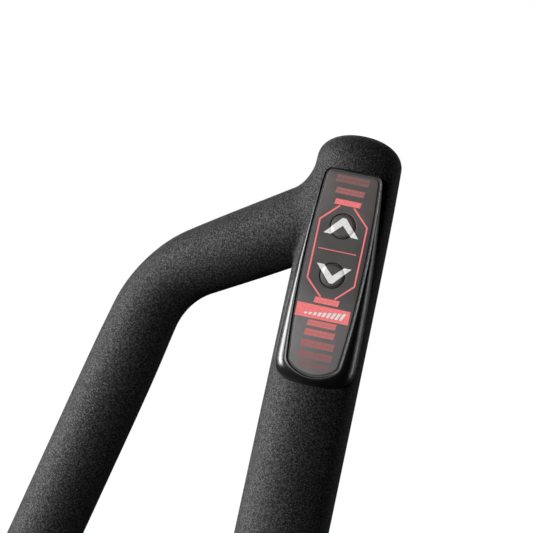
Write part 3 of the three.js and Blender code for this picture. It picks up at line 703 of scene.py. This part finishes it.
def net_over(low, high, cell):
    """A net of four-sided faces over the skin, with a point in each cell that it crosses."""
    counts = [int(ceil((b - a) / cell)) + 1 for a, b in zip(low, high)]
    axes = [a + cell * np.arange(n) for a, n in zip(low, counts)]
    grid = np.stack(np.meshgrid(*axes, indexing="ij"), -1).reshape(-1, 3)
    inside = (skin_level(grid) < 0).reshape(counts)
    filled = sum(inside[i:counts[0] - 1 + i, j:counts[1] - 1 + j, k:counts[2] - 1 + k].astype(int)
                 for i in (0, 1) for j in (0, 1) for k in (0, 1))
    crossed = (filled > 0) & (filled < 8)
    number = np.full(crossed.shape, -1)
    number[crossed] = np.arange(crossed.sum())
    points = np.argwhere(crossed) * cell + np.array(low) + cell / 2
    faces = []
    for axis in range(3):
        one, two = (axis + 1) % 3, (axis + 2) % 3
        here = np.moveaxis(inside, (axis, one, two), (0, 1, 2))
        cells = np.moveaxis(number, (axis, one, two), (0, 1, 2))
        flip = here[:-1, 1:-1, 1:-1] != here[1:, 1:-1, 1:-1]
        i, j, k = np.nonzero(flip)
        quad = np.stack([cells[i, j, k], cells[i, j + 1, k], cells[i, j + 1, k + 1], cells[i, j, k + 1]], 1)
        outward = here[:-1, 1:-1, 1:-1][i, j, k]
        quad[~outward] = quad[~outward][:, ::-1]
        faces.append(quad)
    return points, np.concatenate(faces)


def relax(points, faces, rounds, level=0.0):
    """Evens the net out and puts it back on the surface."""
    edges = np.concatenate([faces[:, (0, 1)], faces[:, (1, 2)], faces[:, (2, 3)], faces[:, (3, 0)]])
    edges = np.concatenate([edges, edges[:, ::-1]])
    degree = np.maximum(np.bincount(edges[:, 0], minlength=len(points)), 1)
    for _ in range(rounds):
        total = [np.bincount(edges[:, 0], points[edges[:, 1], c], len(points)) for c in range(3)]
        points = settle(points * 0.5 + np.stack(total, 1) / degree[:, None] * 0.5, level, 2)
    return points


skin_cell = 1.25 * mm
room = 4 * mm
net_low, net_high = [c - room for c in skin_low], [c + room for c in skin_high]
skin_points, skin_faces = net_over(net_low, net_high, skin_cell)
skin_points = relax(settle(skin_points, rounds=5), skin_faces, 4)


def multiplied(a, b):
    node = new_node(a, "Mix")
    node.data_type = "RGBA"
    node.blend_type = "MULTIPLY"
    node.inputs["Factor"].default_value = 1.0
    join(a, node.inputs["A"])
    join(b, node.inputs["B"])
    return node.outputs["Result"]


# Fine foam grain: soft pits, a little drift of colour, and sparse paler flecks, which are painted glints
# standing in for the foam's glitter under light.
foam, shader, place = surface("soft_foam", (0.0115, 0.0115, 0.0118), 0.66, specular=0.167)
pits = noise(place, 1250, 3, 0.6)
drift = noise(place, 45, 3)
grains = new_node(place, "TexVoronoi")
grains.inputs["Scale"].default_value = 1500
join(place, grains.inputs["Vector"])
speck = spread(grains.outputs["Distance"], 0.16, 0.30, 1.0, 0.0)
ground = tones(pits, (0.36, (0.0013, 0.0013, 0.0013)), (0.5, (0.0087, 0.0087, 0.0089)),
               (0.66, (0.0367, 0.0367, 0.0373)))
drifted = multiplied(ground, tones(drift, (0.3, (0.86, 0.86, 0.86)), (0.7, (1.0, 1.0, 1.0))))
# Painted glints: sparse pale flecks mixed into the foam's base colour.
painted_glints = new_node(place, "Mix")
painted_glints.data_type = "RGBA"
painted_glints.inputs["B"].default_value = (0.083, 0.083, 0.085, 1)
join(speck, painted_glints.inputs["Factor"])
join(drifted, painted_glints.inputs["A"])
join(painted_glints.outputs["Result"], shader.inputs["Base Color"])
roughen(shader, pits, 0.3, 0.7, 0.82, 0.62)
relief(shader, pits, 0.16 * mm, 0.7)


# ---- the pod's place and outlines
# The pod's face is tilted: low at the top, proud at the bottom. u runs across it, v up it and w
# out of it, and everything in the pod is laid out in these.

face_across = Vector((1, 0, 0))
face_out = -Vector(frame["joints"][0]["axis"]).normalized()
face_up = face_out.cross(face_across).normalized()
film_low, film_high = corners_of("overlay_film")
tilt = atan2(face_out.z, -face_out.y)
half_rise = (film_high.z - film_low.z) / 2
half_face = half_rise / cos(tilt)
face_middle = Vector((0, film_low.y + tan(tilt) * half_rise, (film_low.z + film_high.z) / 2))
pod_place = Matrix((face_across, face_up, face_out)).transposed().to_4x4()
pod_place.translation = face_middle

# In mm: the half width, the widest place's height, the bowed side's radius, the upper and the
# lower corners' and the lower arch's.
face_shape = (13.5, 5.1, 450, 3, 1.4, 15.1)
rim_shape = (18.0, -38, 627, 3.4, 10, 80)


def outline(shape, top, bottom, grow=0.0):
    """Bowed sides, round corners and an arched foot, counter-clockwise from the lower middle."""
    half, widest, side_radius, corner, low, arch_radius = (size * mm for size in shape)
    half, top, bottom, arch_radius = half + grow, top + grow, bottom - grow, arch_radius + grow
    corner, low = max(0.6 * mm, corner + grow), max(0.6 * mm, low + grow)

    def side(v):
        return half - (v - widest) ** 2 / (2 * side_radius)

    def arch(u):
        return bottom + arch_radius - sqrt(arch_radius ** 2 - u ** 2)

    def turn_corner(a, b, c):
        return [tuple(p * (1 - t) ** 2 + 2 * q * t * (1 - t) + r * t ** 2 for p, q, r in zip(a, b, c))
                for t in np.arange(0, 1, 0.1)]

    u_low = side(bottom)
    for _ in range(3):
        u_low = side(arch(min(u_low, arch_radius)))
    v_low = arch(u_low)
    foot_end, side_start, side_end = u_low - low, v_low + low, top - corner
    right = [(t * foot_end, arch(t * foot_end)) for t in np.arange(0, 1, 1 / 12)]
    right += turn_corner((foot_end, arch(foot_end)), (u_low, v_low), (side(side_start), side_start))
    heights = [side_start + t * (side_end - side_start) for t in np.arange(0, 1, 1 / 40)]
    right += [(side(v), v) for v in heights]
    right += turn_corner((side(side_end), side_end), (side(top), top), (side(top) - corner, top))
    right += [((side(top) - corner) * (1 - t), top) for t in np.arange(0, 1, 1 / 8)]
    right.append((0, top))
    left = [(-u, v) for u, v in right[1:-1]][::-1]
    return [(float(u), float(v)) for u, v in right + left]


def face_outline(grow=0.0):
    return outline(face_shape, half_face, -half_face, grow)


def slab(name, points, low, high):
    """A straight-sided block of an outline between two heights over the face, in its place."""
    mesh = rings_mesh(name, [[(u, v, w) for u, v in points] for w in (low, high)], points)
    mesh.transform(pod_place)
    return mesh


# The skin gets its seat for the cover, the pocket for the base and the bore for the straight tube.
seat_depth = 2.3 * mm
lip = 0.9 * mm
pocket_inset, pocket_deep = 2.4 * mm, 11.5 * mm
well_above = 12 * mm
skin_mesh = faced("grip_skin_piece", skin_points.tolist(), skin_faces.tolist())
skin = piece_from("soft_skin", skin_mesh, foam, like="grip_skin", sharp=50)
bore_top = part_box("top_plug")[1][2] + fit
seat = slab("seat", face_outline(lip + 0.2 * mm), -seat_depth, well_above)
pocket = slab("pocket", face_outline(-pocket_inset), -pocket_deep, 0)
cut_away(skin, rod(tube_bore, 0, bore_top, 96), seat, pocket)


# ---- pod inside: base, board, switches, lead
# A black plastic base stands on the tube in the skin's pocket. It carries a small green board with
# two tactile switches and the header for the lead, which runs down inside the tube.

solder_mask, shader, place = surface("solder_mask", (0.015, 0.09, 0.035), 0.35)
weave = noise(place, 500, 2)
colour(shader, weave, (0.3, (0.010, 0.07, 0.028)), (0.7, (0.02, 0.12, 0.045)))
relief(shader, weave, 0.01 * mm)
natural_nylon = moulded("natural_nylon", (0.74, 0.71, 0.63), 0.5, 500)
black_rubber = moulded("black_rubber", (0.012, 0.012, 0.012), 0.7, 1200, 0.03 * mm)
for node in ("base_screw_upper", "base_screw_lower", "board_screw_left", "board_screw_right",
             "switch_body_up", "switch_body_down"):
    dress(node, bright_zinc)
for node in ("pod_base", "switch_stem_up", "switch_stem_down"):
    dress(node, black_plastic)
for node in ("cable_connector", "board_header", "cable_plug"):
    dress(node, natural_nylon)
for node in ("cable_lead", "cable_grommet"):
    dress(node, black_rubber)
dress("circuit_board", solder_mask)


# ---- pod cover
# Glossy black shell. A narrow lip frames the film, then the side rolls over and down to the skin,
# hardly at all at the top end and 15 mm deep at the bottom. Its foot follows the skin's roundness.

gloss_black, shader, place = surface("gloss_black", (0.006, 0.006, 0.0065), 0.33)
handling = noise(place, 90, 5, 0.65)
roughen(shader, handling, 0.35, 0.75, 0.29, 0.38)
colour(shader, handling, (0.35, (0.005, 0.005, 0.0055)), (0.75, (0.009, 0.009, 0.0095)))
relief(shader, noise(place, 30, 2), 0.02 * mm, 0.3)

rim_drop = (4.5 * mm, 15 * mm)
rim_past = (0.9 * mm, 4.6 * mm)
shell, skirt = 2 * mm, 6 * mm
chamfer = 0.35 * mm
film_gap = 0.3 * mm
film_thick = 0.5 * mm
cover_ceiling = -2.0 * mm
shoulder_deep = 10.5 * mm
draft = 0.10
seam = 0.15 * mm


def drop_at(v):
    """How far the side comes down from the face at a place along the pod."""
    share = (half_face - v) / (2 * half_face)
    return rim_drop[0] + (rim_drop[1] - rim_drop[0]) * share


def side_rings(lip_points, foot_points, top, steps):
    """Rings from the lip over a round shoulder, down a drafted wall to the foot and the skirt."""
    rings = []
    for i in range(steps + 1):
        a = pi / 2 * (1 - i / steps)
        ring = []
        for (lu, lv), (fu, fv) in zip(lip_points, foot_points):
            drop = drop_at(fv)
            shoulder = min(drop, shoulder_deep)
            share = cos(a) * (1 - draft * (drop - shoulder) / drop)
            ring.append((lu + (fu - lu) * share, lv + (fv - lv) * share, top - shoulder * (1 - sin(a))))
        rings.append(ring)
    for below in (0.01 * mm, skirt):
        rings.append([(fu, fv, top - drop_at(fv) - below) for fu, fv in foot_points])
    return rings


def foot_outline(grow):
    return outline(rim_shape, half_face + rim_past[0], -half_face - rim_past[1], grow)


recess = face_outline(film_gap)
recess_floor = -(film_thick + film_gap)
outside = [[(u, v, recess_floor) for u, v in recess], [(u, v, -chamfer) for u, v in recess],
           [(u, v, -0.05 * mm) for u, v in face_outline(film_gap + chamfer)]]
outside += side_rings(face_outline(lip), foot_outline(0), 0, 16)
inside = side_rings(face_outline(lip - shell), foot_outline(-shell), cover_ceiling, 8)[::-1]
cover_mesh = rings_mesh("pod_cover", (outside + inside)[::-1], recess)
cover = piece_from("cover", cover_mesh, gloss_black, like="pod_cover", sharp=40, place=pod_place)
skin_outer = relax(settle(skin_points, seam), skin_faces, 1, seam)
saddle = linked("saddle", faced("saddle", skin_outer.tolist(), skin_faces.tolist()))
cut_away(saddle, slab("keep", face_outline(lip + 0.02 * mm), cover_ceiling, well_above))
cut_away(cover, saddle.data)
bpy.data.objects.remove(saddle)
cover.data.shade_smooth()
cover.data.set_sharp_from_angle(angle=radians(40))


# ---- keys
# A black plunger under each dome of the film. It slides in a bore in the cover and pushes the
# switch. A flange keeps it in.

key_places = {name: pod_place.inverted() @ (sum(corners_of(f"key_{name}"), Vector()) / 2)
              for name in ("up", "down")}
key_bore = 5.5 * mm + fit
plunger_radius, plunger_tip, plunger_top = 5.2 * mm, 2.3 * mm, 0.14 * mm
flange_radius, flange_low, flange_high = 6.4 * mm, -2.8 * mm, -2.3 * mm
key_profile = rounded([(0, flange_low), (flange_radius, flange_low), (flange_radius, flange_high),
                       (plunger_radius, flange_high), (plunger_radius, -0.4 * mm),
                       (plunger_tip, plunger_top), (0, plunger_top)], 0.2 * mm, 3, closed=False)
for name, spot in key_places.items():
    key_place = pod_place @ Matrix.Translation((0, spot.y, 0))
    piece_from(f"plunger_{name}", turned(f"plunger_{name}", key_profile, 64), black_plastic,
               body=f"{name}_key", like=f"key_{name}", place=key_place)
    bore = rod(key_bore, -4 * mm, 2 * mm, 64)
    bore.transform(key_place)
    cut_away(cover, bore)


# ---- overlay film
# Dark grey printed polyester film, 0.5 mm thick, stuck in the cover's recess. It is embossed into
# a low round dome over each key, with a groove round it that lets the dome give.

printed_film, shader, place = surface("printed_film", (0.06, 0.056, 0.054), 0.42, specular=0.4)
heights = new_node(place, "SeparateXYZ")
join(place, heights.inputs["Vector"])
up_film = spread(heights.outputs["Z"], film_low.z, film_high.z, 0, 1)
# The ground tone is lighter towards the film's lower end, a little lighter at the top and darkest across
# the keys: partly a printed fade, partly painted reflection, brightest at the lower end.
ground = tones(
    up_film, (0.0, (0.096, 0.084, 0.085)), (0.24, (0.098, 0.093, 0.092)), (0.45, (0.029, 0.0245, 0.0232)),
    (0.7, (0.029, 0.0245, 0.0232)), (0.8, (0.05, 0.042, 0.0395)), (1.0, (0.062, 0.05, 0.047)))
cloud = tones(noise(place, 160, 5, 0.6), (0.3, (0.88, 0.87, 0.87)), (0.7, (1.1, 1.1, 1.1)))
join(multiplied(ground, cloud), shader.inputs["Base Color"])
tooth = noise(place, 2600, 2)
roughen(shader, tooth, 0.3, 0.7, 0.38, 0.5)
relief(shader, tooth, 0.02 * mm, 0.5)

dome_radius = 5.3 * mm
dome_rise = 0.2 * mm
groove_depth, groove_wide = 0.12 * mm, 0.35 * mm
patch_half = (9.2 * mm, 6.6 * mm)
patch_thick = 0.22 * mm


def emboss(u, v):
    """Height of the film over its flat face, at a point: the two domes and their grooves."""
    height = 0.0
    for spot in key_places.values():
        away = hypot(u, v - spot.y)
        if away < dome_radius:
            height += dome_rise * (1 - (away / dome_radius) ** 8)
        height -= groove_depth * exp(-((away - dome_radius) / groove_wide) ** 2)
    return height


def patch_edge(spot):
    """A rounded rectangle round a key, wide enough for the whole printed arrow."""
    points = []
    for k in range(96):
        a = 2 * pi * k / 96
        c, s = cos(a), sin(a)
        points.append((patch_half[0] * copysign(abs(c) ** 0.5, c),
                       spot.y + patch_half[1] * copysign(abs(s) ** 0.5, s)))
    return points


def in_patch(u, v):
    across, up = patch_half
    return any((u / across) ** 4 + ((v - spot.y) / up) ** 4 < 0.98 for spot in key_places.values())


film_build = bmesh.new()


def film_ring(points, depth):
    return [film_build.verts.new((u, v, depth)) for u, v in points]


def film_wall(near, far):
    for i in range(len(near)):
        film_build.faces.new((near[i - 1], far[i - 1], far[i], near[i]))


def film_sheet(loops, facing):
    """Fills the flat sheet between an outer loop and the holes in it."""
    edges = []
    for ring in loops:
        for i in range(len(ring)):
            pair = (ring[i - 1], ring[i])
            edges.append(film_build.edges.get(pair) or film_build.edges.new(pair))
    filled = bmesh.ops.triangle_fill(film_build, edges=edges, use_beauty=True, normal=(0, 0, facing))
    for face in [f for f in filled["geom"] if isinstance(f, bmesh.types.BMFace)]:
        centre = face.calc_center_median()
        if in_patch(centre.x, centre.y):
            film_build.faces.remove(face)


# The film's edge rolls over: how far in from the face's outline, and how far down.
film_edge = ((0.95, 0), (0.8, 0.015), (0.6, 0.1), (0.5, 0.22), (0.5, film_thick / mm))
film_rings = [film_ring(face_outline(-inward * mm), -down * mm) for inward, down in film_edge]
for near, far in zip(film_rings, film_rings[1:]):
    film_wall(near, far)
upper_holes, lower_holes = ([film_ring(patch_edge(spot), depth) for spot in key_places.values()]
                            for depth in (0, -film_thick))
for near, far in zip(upper_holes, lower_holes):
    film_wall(far, near)
film_sheet([film_rings[0]] + upper_holes, 1)
film_sheet([film_rings[-1]] + lower_holes, -1)
bmesh.ops.recalc_face_normals(film_build, faces=film_build.faces)
piece_from("film", mesh_from("film", film_build), printed_film, like="overlay_film", sharp=12,
           place=pod_place)


def give_with_key(piece):
    """Gives a piece over a key its own copy of its mesh."""
    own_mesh(piece)


patch_steps = 28
for name, spot in key_places.items():
    edge = patch_edge(spot)
    top = []
    for i in range(patch_steps, 0, -1):
        share = i / patch_steps
        ring = [(u * share, spot.y + (v - spot.y) * share) for u, v in edge]
        top.append([(u, v, emboss(u, v)) for u, v in ring])
    under = [[(u, v, w - patch_thick) for u, v, w in ring] for ring in top]
    mesh = rings_mesh(f"key_film_{name}", under[::-1] + top, edge)
    give_with_key(piece_from(f"key_film_{name}", mesh, printed_film, sharp=50, place=pod_place))


# ---- printing on the film
# Screen-printed inks, a few hundredths thick: a coral frame and bars that fade away from the keys,
# a coral label with plain rising marks, and a white arrow on each key. Round each arrow, a black ink ring
# over the dome's groove is painted shade of that groove.

def ink(name, tone, roughness=0.45, specular=0.4):
    """A screen-printed ink, a little uneven."""
    made, shader, place = surface(name, tone, roughness, specular=specular)
    wear = noise(place, 1300, 4, 0.7)
    colour(shader, wear, (0.3, tuple(0.80 * c for c in tone)), (0.62, tone))
    relief(shader, wear, 0.01 * mm, 0.4)
    return made


def printed(name, patches, material, on_key=None, thick=0.03 * mm):
    """One print: each patch is a grid of (u, v) points laid on the film, as thick as the ink."""
    made = bmesh.new()
    for grid in patches:
        rows, columns = len(grid), len(grid[0])
        upper, lower = ([[made.verts.new((u, v, emboss(u, v) + lift)) for u, v in row] for row in grid]
                        for lift in (thick, -0.01 * mm))
        for i in range(rows - 1):
            for j in range(columns - 1):
                made.faces.new((upper[i][j], upper[i][j + 1], upper[i + 1][j + 1], upper[i + 1][j]))
                made.faces.new((lower[i][j], lower[i + 1][j], lower[i + 1][j + 1], lower[i][j + 1]))
        rim = [(0, j) for j in range(columns)] + [(i, columns - 1) for i in range(1, rows)]
        rim += [(rows - 1, j) for j in range(columns - 2, -1, -1)]
        rim += [(i, 0) for i in range(rows - 2, 0, -1)]
        for (i, j), (k, m) in zip(rim, rim[1:] + rim[:1]):
            made.faces.new((upper[i][j], lower[i][j], lower[k][m], upper[k][m]))
    bmesh.ops.remove_doubles(made, verts=made.verts, dist=1e-8)
    bmesh.ops.recalc_face_normals(made, faces=made.faces)
    piece = piece_from(name, mesh_from(name, made), material, sharp=30, place=pod_place)
    if on_key:
        give_with_key(piece)


def below_top(u, down):
    """A place in the artwork, in mm across from the middle and down from the film's top."""
    return u * mm, half_face - down * mm


def strip(outer, inner, along=1, across=1):
    """A grid between two lines of as many points each."""
    grid = []
    for (a, b), (c, d) in zip(zip(outer, outer[1:]), zip(inner, inner[1:])):
        for i in range(along):
            t = i / along
            grid.append((Vector(a).lerp(Vector(b), t), Vector(c).lerp(Vector(d), t)))
    grid.append((Vector(outer[-1]), Vector(inner[-1])))
    return [[tuple(near.lerp(far, j / across)) for j in range(across + 1)] for near, far in grid]


def line(points, width):
    """A drawn line of a width, mitred at its corners."""
    outer, inner = [], []
    points = [Vector(p) for p in points]
    ways = [(b - a).normalized() for a, b in zip(points, points[1:])]
    for here, into, out in zip(points, ways[:1] + ways, ways + ways[-1:]):
        way = (into + out).normalized()
        side = Vector((way.y, -way.x))
        miter = 1 / max(0.3, abs(side.dot(Vector((into.y, -into.x)))))
        outer.append(here + side * width / 2 * miter)
        inner.append(here - side * width / 2 * miter)
    return strip(outer, inner)


def box_mark(left, right, top, bottom, slant=0.0):
    """A straight mark with slanted ends."""
    return strip([below_top(left + slant, top), below_top(right + slant, top)],
                 [below_top(left, bottom), below_top(right, bottom)])


coral_tone, film_tone = (0.88, 0.175, 0.175), (0.07, 0.062, 0.06)
coral = ink("coral_ink", coral_tone)
white = ink("white_ink", (0.74, 0.74, 0.73))
# Black ink for the rings round the keys: painted shade over the grooves round the domes.
black = ink("groove_shade_ink", (0.004, 0.004, 0.004), 0.7, 0.06)

frame_corners = ((3.1, 15.0), (10.5, 22.3), (10.5, 48.6), (3.1, 55.8))
for side, name in ((-1, "left"), (1, "right")):
    corners = [below_top(side * u, down) for u, down in frame_corners]
    printed(f"frame_line_{name}", [line(corners, 0.72 * mm)], coral)
printed("divider_line", [line([below_top(-8.5, 34.9), below_top(8.3, 34.9)], 0.36 * mm)], coral)

# Each bar: its top and bottom below the film's top edge, its half width, and how strong its ink is.
bars = [(1.6, 4.9, 7.3, 0.16), (7.2, 9.8, 6.3, 0.38), (12.2, 14.6, 5.7, 1.0), (56.1, 58.7, 5.5, 1.0),
        (66.4, 69.0, 6.3, 0.72), (70.4, 73.3, 6.7, 0.6), (75.2, 78.4, 7.3, 0.35), (80.2, 83.2, 7.6, 0.24),
        (84.8, 87.0, 6.6, 0.14)]
tick, slant = 1.05, 0.35
for number, (top, bottom, half, strength) in enumerate(bars):
    tone = tuple(a + (b - a) * strength for a, b in zip(film_tone, coral_tone))
    marks = []
    split = 0.02 + 0.1 * (1 - strength)
    middle = (top + bottom) / 2
    left, count = -half, 0
    while left < half - 0.2:
        right = min(left + tick * (0.7 + 0.6 * (count * 7 % 5) / 4), half)
        marks.append(box_mark(left, right, top, middle - split, slant))
        marks.append(box_mark(left - 0.2, right - 0.2, middle + split, bottom, slant))
        left = right + split + 0.02
        count += 1
    printed(f"bar_{number + 1}", marks, ink(f"bar_ink_{number + 1}", tone))

printed("label", [box_mark(-12.5, 11.3, top=59.7, bottom=65.7)], coral)
marks = []
mark_left, mark_foot, mark_pitch, mark_wide, mark_count = -8.7, 64.3, 1.95, 1.25, 9
for i in range(mark_count):
    height = 0.8 + 2.5 * i / (mark_count - 1)
    left = mark_left + mark_pitch * i
    marks.append(box_mark(left, left + mark_wide, mark_foot - height, mark_foot, 0.45 * height))
printed("label_marks", marks, white, thick=0.06 * mm)

# Each arrow's outer and inner edge: out from its middle line, and up towards its point.
arrow_outer, arrow_inner = ((7.75, -4.2), (0.85, 3.55)), ((4.5, -4.2), (0.1, 0.15))
# The black ring is painted shade: dark ink laid over the groove round each dome.
groove_shade_radii = (5.72 * mm, 5.28 * mm)
around = [2 * pi * k / 96 for k in range(97)]
for (name, spot), point in zip(key_places.items(), (1, -1)):
    edges = []
    for half_edge in (arrow_outer, arrow_inner):
        left_edge = [(-out * mm, spot.y + point * up * mm) for out, up in half_edge]
        edges.append(left_edge + [(-u, v) for u, v in left_edge[::-1]])
    printed(f"arrow_{name}", [strip(*edges, 24, 8)], white, name, 0.1 * mm)
    circles = [[(r * cos(a), spot.y + r * sin(a)) for a in around] for r in groove_shade_radii]
    printed(f"ring_{name}", [strip(*circles, 1, 4)], black, name, 0.05 * mm)
